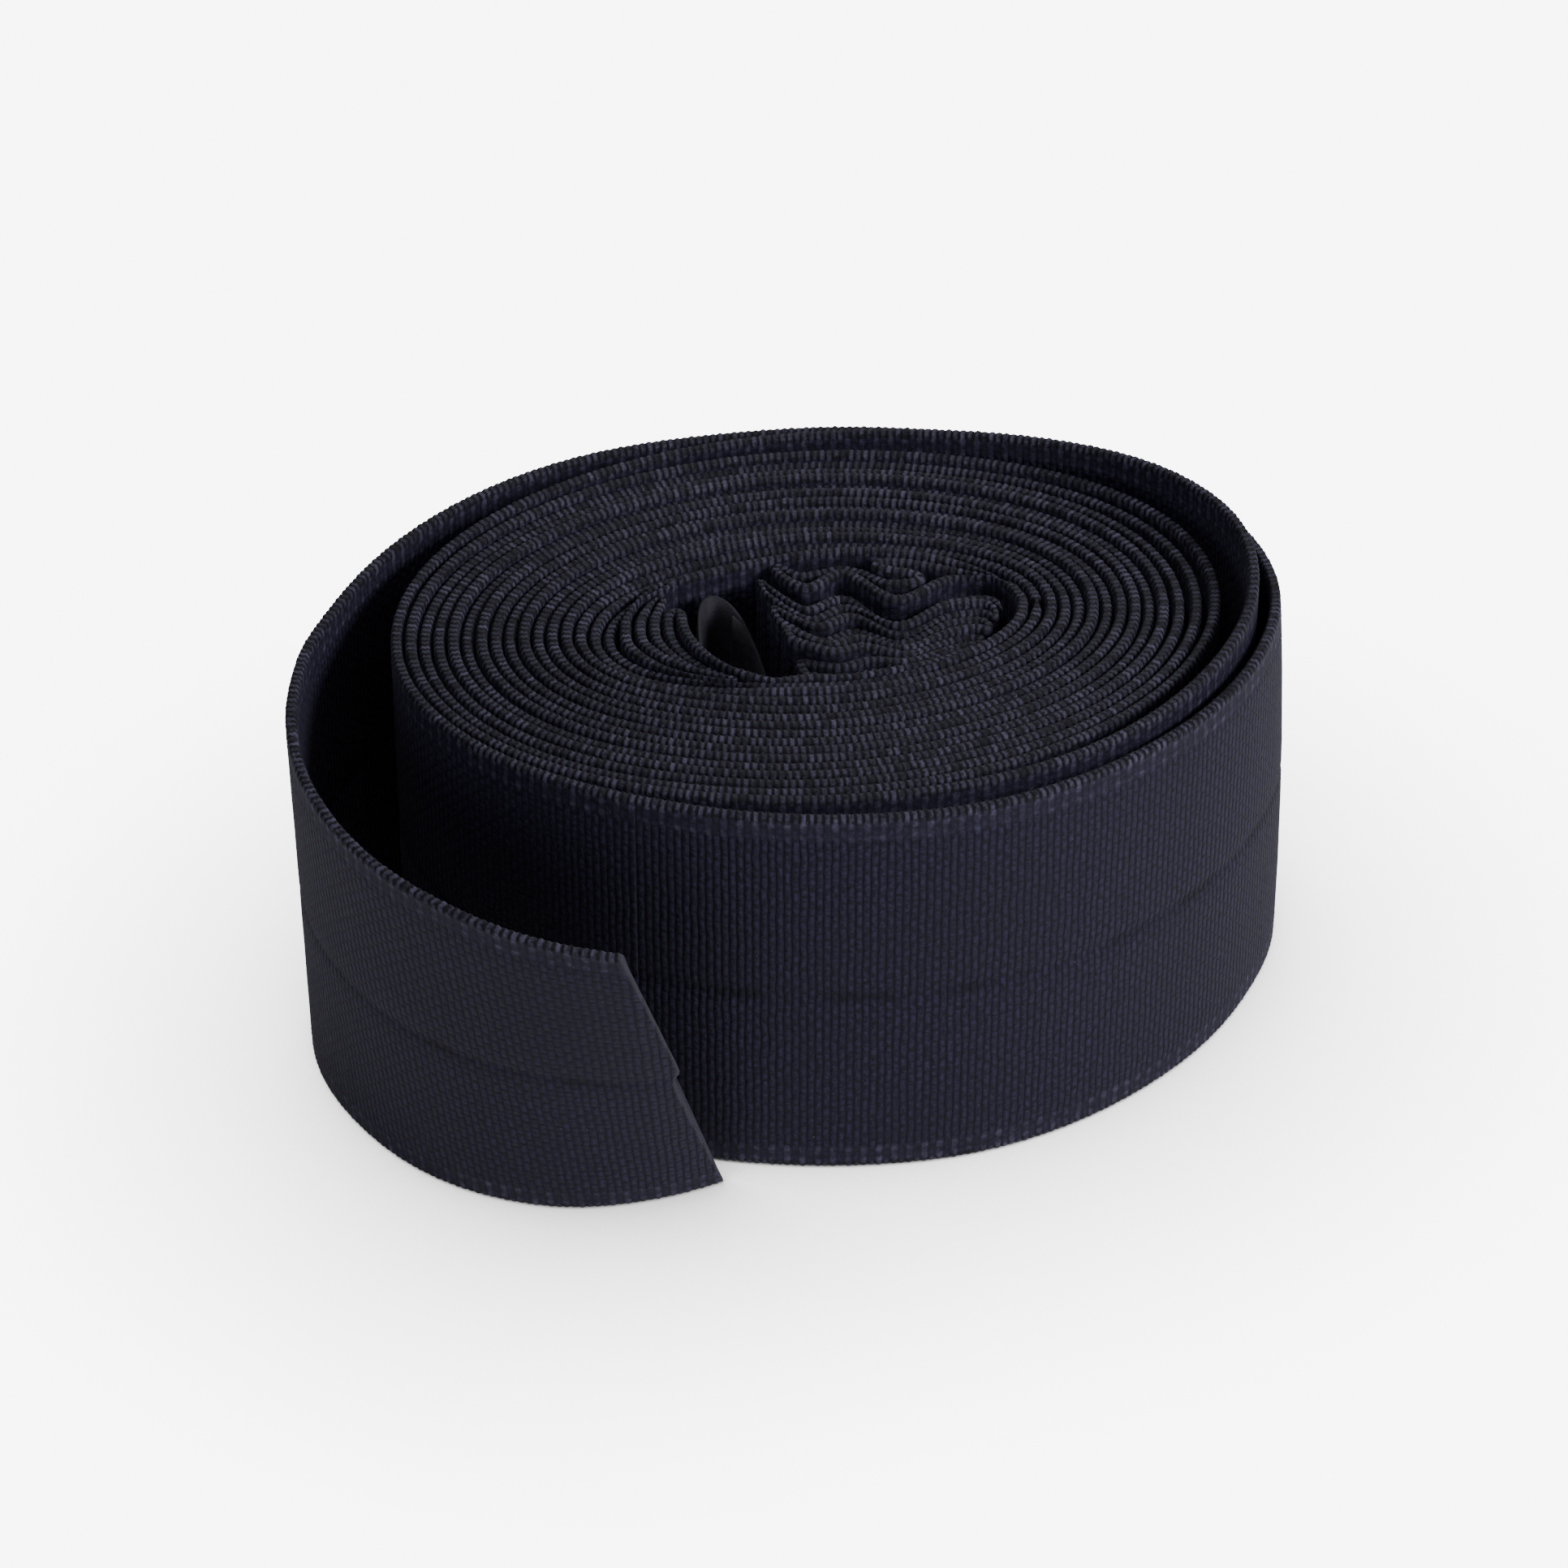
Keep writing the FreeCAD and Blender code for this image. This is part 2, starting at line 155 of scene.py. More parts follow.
def centre(angle, share):
    """The middle of the band's thickness at a turn angle and a share of its width, as x, y, z."""
    angle, share = np.broadcast_arrays(np.asarray(angle, float), np.asarray(share, float))
    turns = (angle - REFERENCE_ANGLE) / 360.0
    tight = angle < SECOND_TURN_START
    half_length = np.where(tight, HALF_LENGTH + PITCH_LONG * turns, HALF_LENGTH)
    half_depth = np.where(tight, HALF_DEPTH + PITCH_DEEP * turns, HALF_DEPTH)
    stand_off = np.where(tight, slack(angle), smooth(STAND_OFF, angle))
    lean = smooth(TOP_LEAN, angle)
    c, s = np.cos(np.radians(angle)), np.sin(np.radians(angle))
    nx, ny = c / half_length, s / half_depth
    size = np.hypot(nx, ny)
    reach = stand_off + lean * lean_profile(share, angle) + WOBBLE(angle)
    x, y = turned(half_length * c + nx / size * reach, half_depth * s + ny / size * reach, TILT)
    rise = smooth(RISE, angle) + share * turn_height(angle)
    return np.stack([x, y, share * np.sqrt(WIDTH**2 - lean**2) + rise], -1)


def slack(angle):
    """How far the outer tight turns have spread at the roll's back right, most at the outermost turn."""
    away = (angle - SLACK_ANGLE + 180.0) % 360.0 - 180.0
    depth = np.clip(1 - (SECOND_TURN_START - angle) / SLACK_WINDING, 0, 1) ** 1.5
    return SLACK_MOST * np.exp(-(away / SLACK_EITHER_SIDE) ** 2) * depth


def turn_height(angle):
    """How unevenly high the tight turns' top edges stand, from turn to turn."""
    fade = np.clip((SECOND_TURN_START - angle) / 90.0, 0, 1) * np.clip((angle - CORE_END) / 90.0, 0, 1)
    turns = np.radians(angle)
    return fade * (0.22 * np.sin(0.37 * turns + 1.0) + 0.2 * np.sin(0.61 * turns) - 0.15)


def make_wobble():
    """A slight waviness of the turns, the same for neighbouring turns, so that they never meet."""
    waves = [(random.integers(2, 7), random.uniform(0, 6.28), random.uniform(0.04, 0.12)) for _ in range(5)]

    def wobble(angle):
        a = np.radians(angle)
        fade = np.clip((560.0 - angle) / 60.0, 0, 1)
        return fade * sum(size * np.sin(k * a + phase) for k, phase, size in waves)
    return wobble


WOBBLE = make_wobble()

# A table of length along the band against turn angle, so that the knit runs on from piece to piece.
TABLE_ANGLES = np.linspace(CORE_END, FREE_END_LOW + 2, 60001)
TABLE_POINTS = centre(TABLE_ANGLES, 0.0)
TABLE_LENGTHS = np.concatenate([[0.0], np.cumsum(np.linalg.norm(np.diff(TABLE_POINTS, axis=0), axis=1))])


def length_at(angle):
    return np.interp(angle, TABLE_ANGLES, TABLE_LENGTHS)


def angle_at(length):
    return np.interp(length, TABLE_LENGTHS, TABLE_ANGLES)


# ---------------------------------------------------------------- the band's cross-section

def half_section(kind):
    """The outer half of the cross-section from mid-width up to an edge, as rows of
    (height above the band's middle, distance from the centre line, loop sink, loop pinch, row)."""
    face = THICKNESS / 2
    rim = [(23.75, face - 0.03, 0, 0.02, 2), (24.3, face, 0.03, 0.07, 2),
           (24.75, face - 0.12, 0.14, 0.12, 2), (24.95, face - 0.36, 0.24, 0.08, 2)]
    selvage = [(20.9, face, 0, 0, 0), (21.4, face - 0.07, 0, 0, 0), (21.85, face - 0.02, 0, 0.02, 1),
               (22.3, face + 0.04, 0, 0.08, 1), (22.75, face - 0.02, 0, 0.03, 1),
               (23.2, face - 0.08, 0, 0, 0)]
    middle = [(0.0, face - 0.2, 0, 0, 0), (0.5, face - 0.12, 0, 0, 0), (1.3, face, 0, 0, 0),
              (4.0, face + 0.02, 0, 0, 0), (9.0, face, 0, 0, 0), (14.0, face + 0.02, 0, 0, 0)]
    if kind == "bare":
        return [(17.0, face, 0, 0, 0), (24.3, face, 0, 0, 0), (24.95, face - 0.36, 0, 0, 0)]
    if kind == "plain":
        return [(17.0, face, 0, 0, 0), (23.0, face, 0, 0, 0)] + rim
    return (middle if kind == "rich" else []) + [(18.0, face, 0, 0, 0)] + selvage + rim


def section(kind, under):
    """The whole closed cross-section as columns: height from the bottom edge, distance, sink, pinch, row.
    kind is how much detail the top half has, and under the bottom half."""
    high = half_section(kind)
    low = [(-z, d, s, p, r) for z, d, s, p, r in reversed(half_section(under)) if z > 0.0]
    up = low + high
    inner = [(z, -d, s, p, r + 10) for z, d, s, p, r in reversed(up)]
    tip = WIDTH / 2 - 0.28
    rows = np.array(up + [(tip, 0.0, 0.0, 0.0, 0)] + inner + [(-tip, 0.0, 0.0, 0.0, 0)], float)
    rows[:, 0] += WIDTH / 2
    return rows


# RICH is for the turns that show whole, FULL for the core and PLAIN for the tight turns, whose top shows.
RICH, FULL, PLAIN = section("rich", "rich"), section("full", "bare"), section("plain", "bare")


def loops(length, row):
    """How full the knitted edge is, from 0 between two loops to 1 at a loop, in staggered uneven rows.
    Rows from 10 up are on the band's inner face."""
    shift = np.where(row % 10 == 1, 0.5, 0.0) + np.where(row >= 10, 0.5, 0.0)
    uneven = 0.8 + 0.2 * np.sin(length * 2.9 + 1.3 * row) * np.sin(length * 0.71 + row)
    return uneven * np.abs(np.sin(np.pi * (length / LOOP_PITCH + shift))) ** 1.2


# ---------------------------------------------------------------- meshes

def new_mesh(name, points, faces, uvs=None, shades=None):
    """A smooth mesh from points in millimetres. uvs, and shades for cut ends, are one per point."""
    mesh = bpy.data.meshes.new(name)
    mesh.from_pydata((np.asarray(points) * MM).tolist(), [], [tuple(map(int, f)) for f in faces])
    mesh.update()
    if uvs is not None:
        layer = mesh.uv_layers.new(name="band")
        index = np.empty(len(mesh.loops), np.int32)
        mesh.loops.foreach_get("vertex_index", index)
        layer.data.foreach_set("uv", np.asarray(uvs, np.float32)[index].ravel())
    if shades is not None:
        attribute = mesh.attributes.new("shade", "FLOAT", "POINT")
        attribute.data.foreach_set("value", np.asarray(shades, np.float32))
    mesh.polygons.foreach_set("use_smooth", [True] * len(mesh.polygons))
    obj = bpy.data.objects.new(name, mesh)
    bpy.context.scene.collection.objects.link(obj)
    return obj


def tube_faces(rings, sides):
    """Quads of a closed tube of rings, with a flat cap at each end."""
    i, j = np.meshgrid(np.arange(rings - 1), np.arange(sides), indexing="ij")
    here, k = i * sides, (j + 1) % sides
    quads = np.stack([here + j, here + sides + j, here + sides + k, here + k], -1).reshape(-1, 4)
    caps = [list(range(sides)), list(range((rings - 1) * sides, rings * sides))[::-1]]
    return [list(q) for q in quads] + caps


def swept_uvs(lengths, rows):
    """Places on the band in band widths, along it and up it, one per point of a sweep."""
    return np.stack(np.broadcast_arrays(lengths / WIDTH, rows[None, :, 0] / WIDTH), -1).reshape(-1, 2)


def band_points(lengths, angles, rows):
    """Points of the swept cross-section. angles is one per ring and cross-section point, lengths one
    per ring."""
    share = rows[:, 0] / WIDTH
    here = centre(angles, share[None, :])
    along = centre(angles + HALF_STEP, share[None, :]) - centre(angles - HALF_STEP, share[None, :])
    out = np.stack([along[..., 1], -along[..., 0]], -1)
    out /= np.linalg.norm(out, axis=-1, keepdims=True)
    full = loops(lengths[:, None], rows[None, :, 4])
    side = np.sign(rows[:, 1])
    distance = rows[None, :, 1] - side * rows[None, :, 3] * (1 - full)
    ends = np.sign(rows[:, 0] - WIDTH / 2)
    here[..., :2] += out * distance[..., None]
    here[..., 2] -= ends * rows[None, :, 2] * (1 - full)
    return here


def band_piece(name, start, end, rows, end_at=None):
    """A stretch of the band between two turn angles. end_at(share) gives the end angle of a slanted cut."""
    first, last = length_at(start), length_at(end)
    count = int(round((last - first) / RING_SPACING))
    lengths = np.linspace(first, last, count + 1)
    angles = np.repeat(angle_at(lengths)[:, None], len(rows), axis=1)
    if end_at is not None:
        part = (angles - start) / (end - start)
        angles = start + part * (end_at(rows[:, 0] / WIDTH)[None, :] - start)
    points = band_points(lengths, angles, rows).reshape(-1, 3)
    shades = np.zeros(len(points))
    if end_at is not None:
        shades[-2 * len(rows):] = 1.0
    faces = tube_faces(len(lengths), len(rows))
    return new_mesh(name, points, faces, swept_uvs(length_at(angles), rows), shades)


# ---------------------------------------------------------------- the inner end of the band

def running(points):
    return np.concatenate([[0.0], np.cumsum(np.linalg.norm(np.diff(points, axis=0), axis=1))])


def resample(points, spacing):
    points = np.asarray(points, float)
    run = running(points)
    at = np.linspace(0.0, run[-1], int(run[-1] / spacing) + 1)
    return np.stack([np.interp(at, run, points[:, k]) for k in range(points.shape[1])], -1)


def rounded(points, spacing, times):
    """A polyline with its corners rounded off."""
    points = resample(points, spacing)
    for _ in range(times):
        points[1:-1] = (points[:-2] + 2 * points[1:-1] + points[2:]) / 4
    return resample(points, spacing)


def spline(points, count):
    """A smooth plan curve through points, evenly spaced along its length."""
    points = np.asarray(points, float)
    run = running(points)
    at = np.linspace(0, run[-1], count)
    return np.stack([smooth(list(zip(run, points[:, k])), at) for k in range(2)], -1)


def inward_turn(first, last):
    """The roll's spiral carried on inwards, by degrees past the end of the tight turns."""
    return centre(CORE_END - np.linspace(first, last, max(12, int((last - first) / 4))), 0.0)[:, :2]


def folds(first_edge, last_edge, count, skip, cuts):
    """Folds of the band laid side by side between two edges, each the other way round from the last.
    cuts gives how much of each fold's two ends is left off."""
    out = []
    for k in range(skip, count + 1):
        line = first_edge + (last_edge - first_edge) * k / count
        low, high = cuts(k)
        line = line[int(low * len(line)):int((1 - high) * len(line))]
        out.append(line if (k - skip) % 2 == 0 else line[::-1])
    return out


def core_line():
    """The folded inner end of the band, from the tight turns inwards, as a plan line."""
    count = 90
    over_gap = spline([(x, y + THICKNESS) for x, y in WAVY_GAP[1:-1]], count)
    last_rear = np.concatenate([LAST_REAR_START, over_gap, LAST_REAR_END])
    rear = spline(REAR_FOLD, count)
    left_out = spline(LEFT_OUTER_FOLD, count)
    left_in = spline(LEFT_INNER_FOLD, count)
    front = spline(FRONT_FOLD, count)
    under_gap = spline([(-6.2, 9.6)] + [(x, y - 2.0) for x, y in WAVY_GAP[1:-1]] + [(21.6, 3.0)], count)
    left = folds(left_out, left_in, 5, 1, lambda k: LEFT_CUTS[k - 1])
    right = folds(front, under_gap, 8, 0, lambda k: (0.0, 0.015 * (k % 2)))
    parts = [inward_turn(0, 338), rear, last_rear, inward_turn(372, 590)] + left + right
    return rounded(np.concatenate(parts), 0.26, 6)


def band_room(plan, around, spacing):
    """How thick the band may be at each point of a plan line, squeezed where its folds crowd."""
    crowd = np.concatenate([plan, around])
    skip = int(2 * THICKNESS / spacing)
    room = np.empty(len(plan))
    for i, point in enumerate(plan):
        gaps = np.linalg.norm(crowd - point, axis=1)
        gaps[max(0, i - skip):i + skip + 1] = np.inf
        room[i] = gaps.min()
    room = np.minimum(room - 0.05, THICKNESS)
    least = np.min([np.roll(room, k) for k in range(-2, 3)], axis=0)
    soft = np.convolve(np.pad(least, 3, mode="edge"), np.ones(7) / 7, mode="valid")
    return np.clip(soft, 0.4, THICKNESS) / THICKNESS


def line_sweep(name, plan, start_length, rows, thin, tops):
    """The band swept along a plan line. thin is its share of the full thickness at each point, and tops
    how far the upper half is shifted up there."""
    along = np.gradient(plan, axis=0)
    along /= np.linalg.norm(along, axis=1, keepdims=True)
    out = np.stack([along[:, 1], -along[:, 0]], -1)
    lengths = start_length + running(plan)
    full = loops(lengths[:, None], rows[None, :, 4])
    side, ends = np.sign(rows[:, 1]), np.sign(rows[:, 0] - WIDTH / 2)
    distance = (rows[None, :, 1] - side * rows[None, :, 3] * (1 - full)) * thin[:, None]
    points = np.zeros((len(plan), len(rows), 3))
    points[..., :2] = plan[:, None, :] + out[:, None, :] * distance[..., None]
    points[..., 2] = rows[None, :, 0] - ends * rows[None, :, 2] * (1 - full) + tops[:, None] * (ends > 0)
    faces = tube_faces(len(plan), len(rows))
    return new_mesh(name, points.reshape(-1, 3), faces, swept_uvs(lengths[:, None], rows))


# ---------------------------------------------------------------- patches, seams and the thumb loop

def surface_frame(length, height, distance):
    """Points beside the loose turn and the directions along it, up its width and outward there."""
    share = height / WIDTH
    angle = angle_at(length)
    ahead, behind = centre(angle + HALF_STEP, share), centre(angle - HALF_STEP, share)
    along = ahead - behind
    along /= np.linalg.norm(along, axis=-1, keepdims=True)
    up = centre(angle, share + 0.005) - centre(angle, share - 0.005)
    up /= np.linalg.norm(up, axis=-1, keepdims=True)
    out = np.cross(along, up)
    flat = np.stack([along[..., 1], -along[..., 0], np.zeros_like(along[..., 0])], -1)
    flat /= np.linalg.norm(flat, axis=-1, keepdims=True)
    return centre(angle, share) + flat * distance, along, up, out


def flat_rows(low, high, near, far):
    """The closed cross-section of a strip between two heights and two distances, with soft corners."""
    heights = np.linspace(low, high, 9)
    cut = (far - near) * 0.3
    one = [(z, far - (cut if z in (low, high) else 0.0)) for z in heights]
    two = [(z, near + (cut if z in (low, high) else 0.0)) for z in heights[::-1]]
    return np.array([(z, d, 0, 0, 0) for z, d in one + two], float)


def strand_shape(path, radius, sides):
    """A thin round strand along a local path, as points and faces."""
    path = np.asarray(path, float)
    along = np.gradient(path, axis=0)
    along /= np.linalg.norm(along, axis=1, keepdims=True)
    side = np.cross(along, (0.3, 0.2, 1.0))
    side /= np.linalg.norm(side, axis=1, keepdims=True)
    other = np.cross(along, side)
    turn = np.linspace(0, 2 * np.pi, sides, endpoint=False)
    spokes = side[:, None] * np.cos(turn)[None, :, None] + other[:, None] * np.sin(turn)[None, :, None]
    return (path[:, None] + radius * spokes).reshape(-1, 3), tube_faces(len(path), sides)


def many(name, shapes, origins, frames):
    """One mesh of many small shapes, each put at its origin in its own frame of three directions."""
    points, faces, start = [], [], 0
    for (local, shape_faces), origin, (x, y, z) in zip(shapes, origins, frames):
        points.append(origin + local[:, :1] * x + local[:, 1:2] * y + local[:, 2:] * z)
        faces += [[start + i for i in face] for face in shape_faces]
        start += len(local)
    return new_mesh(name, np.concatenate(points), faces)


def in_seam(length, height, first, last):
    """Whether a place on a patch lies in the strip its seam presses down."""
    away = min(length - first, last - length, height - PATCH_LOW, PATCH_HIGH - height)
    return abs(away - SEAM_MARGIN) < 0.75


def patch_end(height, last, slant):
    """Where a patch ends at a height: slanted like the free end, or square."""
    return last - slant * (height / WIDTH)


def tufts(name, first, last, slant, side, base, pitch, shape, jitter):
    """Rows of small hooks or loops on one face of the loose turn, clear of the patch's border."""
    border = 0.8
    shapes, origins, frames = [], [], []
    for row, height in enumerate(np.arange(PATCH_LOW + border, PATCH_HIGH - border, pitch)):
        end = patch_end(height, last, slant)
        for length in np.arange(first + border + (row % 2) * pitch / 2, end - border, pitch):
            if in_seam(length, height, first, end):
                continue
            moved_along, moved_up = random.uniform(-jitter, jitter), random.uniform(-jitter, jitter)
            origin, along, up, out = surface_frame(length + moved_along, height + moved_up, side * base)
            turn = random.uniform(-jitter, jitter) * 4.0 + (row % 2) * math.pi
            x = along * math.cos(turn) + up * math.sin(turn)
            y = up * math.cos(turn) - along * math.sin(turn)
            size = random.uniform(0.85, 1.1)
            shapes.append((shape[0] * size, shape[1]))
            origins.append(origin)
            frames.append((x, y, out * side))
    return many(name, shapes, origins, frames)


def seam(name, first, last, slant, side, distance):
    """A rectangle of lockstitches around a patch, each a short thread that dips at both ends."""
    start, low, high = first + SEAM_MARGIN, PATCH_LOW + SEAM_MARGIN, PATCH_HIGH - SEAM_MARGIN
    corners = [(start, low), (patch_end(low, last, slant) - SEAM_MARGIN, low),
               (patch_end(high, last, slant) - SEAM_MARGIN, high), (start, high)]
    shapes, origins, frames = [], [], []
    for (l0, h0), (l1, h1) in zip(corners, corners[1:] + corners[:1]):
        run = math.hypot(l1 - l0, h1 - h0)
        count = round(run / STITCH_PITCH)
        reach = run / count * 0.46
        dip = [(-1, -0.3), (-0.85, 0.0), (-0.4, 0.12), (0.4, 0.12), (0.85, 0.0), (1, -0.3)]
        local, faces = strand_shape([(reach * share, 0, height) for share, height in dip], 0.24, 8)
        for k in range(count):
            t = (k + 0.5) / count
            origin, along, up, out = surface_frame(l0 + (l1 - l0) * t, h0 + (h1 - h0) * t, side * distance)
            x = along * ((l1 - l0) / run) + up * ((h1 - h0) / run)
            shapes.append((local, faces))
            origins.append(origin)
            frames.append((x, np.cross(out, x), out * side))
    return many(name, shapes, origins, frames)


def patch_base(name, first, last, slant, side, near, far):
    """The woven ground of a patch, swept along the loose turn."""
    rows = flat_rows(PATCH_LOW, PATCH_HIGH, near, far)
    rows[:, 1] *= side
    if side < 0:
        rows = rows[::-1]
    lengths = np.linspace(first, last, max(8, int((last - first) / 0.8)))
    ends = patch_end(rows[:, 0], last, slant)
    spread = first + (lengths - first)[:, None] / (last - first) * (ends - first)[None, :]
    points = band_points(lengths, angle_at(spread), rows).reshape(-1, 3)
    return new_mesh(name, points, tube_faces(len(lengths), len(rows)), swept_uvs(spread, rows))


# ---------------------------------------------------------------- materials

# Painted shade between the stitches and painted highlight on the stitch tops.
SHADED_CLOTH, LIT_CLOTH = (0.003, 0.0026, 0.0072, 1), (0.0245, 0.0212, 0.0525, 1)
GREY_CLOTH, CUT_EDGE = (0.0082, 0.0074, 0.014, 1), (0.026, 0.0252, 0.036, 1)
LINT = (0.09, 0.09, 0.1, 1)
# Painted shade between the edge loops and along the mid crease, and the painted highlight on the loops.
EDGE_SHADE, EDGE_LOOP_HIGHLIGHT = (0.002, 0.0018, 0.0038, 1), (0.05, 0.0455, 0.081, 1)


class Nodes:
    """A short way to write a shader's nodes."""

    def __init__(self, name):
        self.material = bpy.data.materials.new(name)
        self.material.use_nodes = True
        self.tree = self.material.node_tree
        self.shader = self.tree.nodes["Principled BSDF"]

    def make(self, kind, **settings):
        node = self.tree.nodes.new(kind)
        for key, value in settings.items():
            setattr(node, key, value)
        return node

    def put(self, socket, value):
        if isinstance(value, bpy.types.NodeSocket):
            self.tree.links.new(value, socket)
        else:
            socket.default_value = value

    def math(self, operation, *values):
        node = self.make("ShaderNodeMath", operation=operation)
        for socket, value in zip(node.inputs, values):
            self.put(socket, value)
        return node.outputs[0]

    def arch(self, value):
        """A sine that rises and falls once over each whole step of the value."""
        return self.math("SINE", self.math("MULTIPLY", value, math.pi))

    def rest(self, value):
        return self.math("SUBTRACT", 1.0, value)

    def noise(self, vector, scale, detail=2.0, rough=0.5):
        node = self.make("ShaderNodeTexNoise")
        self.put(node.inputs["Vector"], vector)
        self.put(node.inputs["Scale"], scale)
        self.put(node.inputs["Detail"], detail)
        self.put(node.inputs["Roughness"], rough)
        return node.outputs["Fac"]

    def ramp(self, value, low, high, to_low=0.0, to_high=1.0):
        node = self.make("ShaderNodeMapRange", interpolation_type="SMOOTHSTEP")
        sockets = {"Value": value, "From Min": low, "From Max": high, "To Min": to_low, "To Max": to_high}
        for key, setting in sockets.items():
            self.put(node.inputs[key], setting)
        return node.outputs["Result"]

    def mix(self, share, first, second):
        node = self.make("ShaderNodeMix", data_type="RGBA")
        self.put(node.inputs[0], share)
        self.put(node.inputs[6], first)
        self.put(node.inputs[7], second)
        return node.outputs[2]

    def bump(self, height, strength, distance):
        node = self.make("ShaderNodeBump")
        self.put(node.inputs["Height"], height)
        self.put(node.inputs["Strength"], strength)
        self.put(node.inputs["Distance"], distance)
        return node.outputs["Normal"]

    def finish(self, colour, roughness, normal, sheen, specular=0.3):
        self.put(self.shader.inputs["Base Color"], colour)
        self.put(self.shader.inputs["Roughness"], roughness)
        self.put(self.shader.inputs["Normal"], normal)
        self.shader.inputs["Sheen Weight"].default_value = sheen
        self.shader.inputs["Sheen Roughness"].default_value = 0.45
        self.shader.inputs["Sheen Tint"].default_value = (0.6, 0.6, 0.8, 1)
        self.shader.inputs["Specular IOR Level"].default_value = specular
        return self.material


def band_material():
    """Black elastic knit with a navy cast: staggered short stitches, a looped edge, a little lint. Painted
    highlights on the stitch tops and edge loops, painted shade between them and along the mid crease.
    """
    n = Nodes("band_elastic")
    uv = n.make("ShaderNodeUVMap", uv_map="band").outputs[0]
    split = n.make("ShaderNodeSeparateXYZ")
    n.put(split.inputs[0], uv)
    along = n.math("MULTIPLY", split.outputs[0], WIDTH)
    across = n.math("MULTIPLY", split.outputs[1], WIDTH)
    joined = n.make("ShaderNodeCombineXYZ")
    n.put(joined.inputs[0], along)
    n.put(joined.inputs[1], across)
    place = joined.outputs[0]

    column_width, stitch_height = LOOP_PITCH, 1.7
    wander = n.math("MULTIPLY", n.math("SUBTRACT", n.noise(place, 0.3, 1.0), 0.5), 0.4)
    column = n.math("DIVIDE", n.math("ADD", along, wander), column_width)
    stagger = n.math("MULTIPLY", n.math("FLOOR", column), 0.5)
    stitch = n.math("ADD", n.math("DIVIDE", across, stitch_height), stagger)
    rib = n.math("POWER", n.arch(n.math("FRACT", column)), 0.8)
    dash = n.ramp(n.arch(n.math("FRACT", stitch)), 0.0, 0.8, 0.45, 1.0)
    knit = n.math("MULTIPLY", rib, dash)

    blotch = n.ramp(n.noise(place, 0.045, 3.0, 0.6), 0.3, 0.7)
    grain = n.noise(place, 1.5, 3.0, 0.85)
    from_middle = n.math("ABSOLUTE", n.math("SUBTRACT", across, WIDTH / 2))
    from_edge = n.math("SUBTRACT", WIDTH / 2, from_middle)
    edge = n.ramp(from_edge, 2.6, 3.6, 1.0, 0.0)
    # The edge loops and the ladder below them are painted as highlights, dimmed at random and along a row 2
    # mm in from the edge.
    wave = n.arch(n.math("DIVIDE", along, LOOP_PITCH))
    loop = n.ramp(n.math("ABSOLUTE", wave), 0.35, 0.95)
    bar = n.ramp(wave, -0.3, 0.9, 0.12, 1.0)
    face = n.ramp(from_edge, 0.6, 1.2)
    uneven = n.ramp(n.noise(place, 0.9, 2.0, 0.8), 0.35, 0.68, 0.12, 1.0)
    streak = n.ramp(n.noise(place, 0.21, 1.0, 0.5), 0.35, 0.65, 0.6, 1.0)
    dots = n.math("ADD", n.math("MULTIPLY", loop, n.rest(face)), n.math("MULTIPLY", bar, face))
    gap = n.ramp(n.math("ABSOLUTE", n.math("SUBTRACT", from_edge, 2.0)), 0.15, 0.8, 0.35, 1.0)
    loop_highlight = n.math("MULTIPLY", n.math("MULTIPLY", dots, uneven), n.math("MULTIPLY", streak, gap))

    # Painted highlight on the stitch tops and painted shade between them, varied by a random grain.
    body = n.mix(n.math("MULTIPLY", knit, n.ramp(grain, 0.34, 0.66, 0.0, 1.0)), SHADED_CLOTH, LIT_CLOTH)
    body = n.mix(n.math("MULTIPLY", blotch, 0.35), body, GREY_CLOTH)
    # Painted shade along the mid crease, in patches.
    crease = n.ramp(from_middle, 0.2, 1.3, 0.55, 0.0)
    body = n.mix(n.math("MULTIPLY", crease, n.ramp(n.noise(place, 0.11), 0.42, 0.6)), body, EDGE_SHADE)
    # Painted shade on the rim between the edge loops.
    ground = n.mix(n.math("MULTIPLY", face, 0.8), EDGE_SHADE, body)
    body = n.mix(edge, body, n.mix(loop_highlight, ground, EDGE_LOOP_HIGHLIGHT))
    lint = n.ramp(n.noise(place, 2.2, 1.0, 0.4), 0.8, 0.815)
    body = n.mix(n.math("MULTIPLY", lint, 0.7), body, LINT)
    cut = n.make("ShaderNodeAttribute", attribute_name="shade").outputs["Fac"]
    body = n.mix(cut, body, CUT_EDGE)

    height = n.math("ADD", n.math("MULTIPLY", knit, n.rest(edge)), n.math("MULTIPLY", grain, 0.35))
    normal = n.bump(height, 0.85, 0.0002)
    rough = n.ramp(grain, 0.2, 0.8, 0.62, 0.85)
    return n.finish(body, rough, normal, sheen=0.02, specular=0.14)


def plain_cloth(name, dark, light, scale, sheen):
    """Small parts: a fine woven grain in object space."""
    n = Nodes(name)
    place = n.make("ShaderNodeTexCoord").outputs["Object"]
    grain = n.noise(place, scale, 4.0, 0.65)
    patch = n.noise(place, scale / 12, 2.0, 0.5)
    colour = n.mix(n.ramp(grain, 0.3, 0.7), dark, light)
    colour = n.mix(n.math("MULTIPLY", n.ramp(patch, 0.35, 0.65), 0.4), colour, dark)
    return n.finish(colour, n.ramp(grain, 0.3, 0.7, 0.65, 0.85), n.bump(grain, 0.6, 0.0002), sheen)


# ---------------------------------------------------------------- build


def stretch(name, start, end, rows, material, end_at=None):
    """A stretch of the band between two turn angles, with its material."""
    obj = band_piece(name, start, end, rows, end_at)
    obj.data.materials.append(material)
    return obj


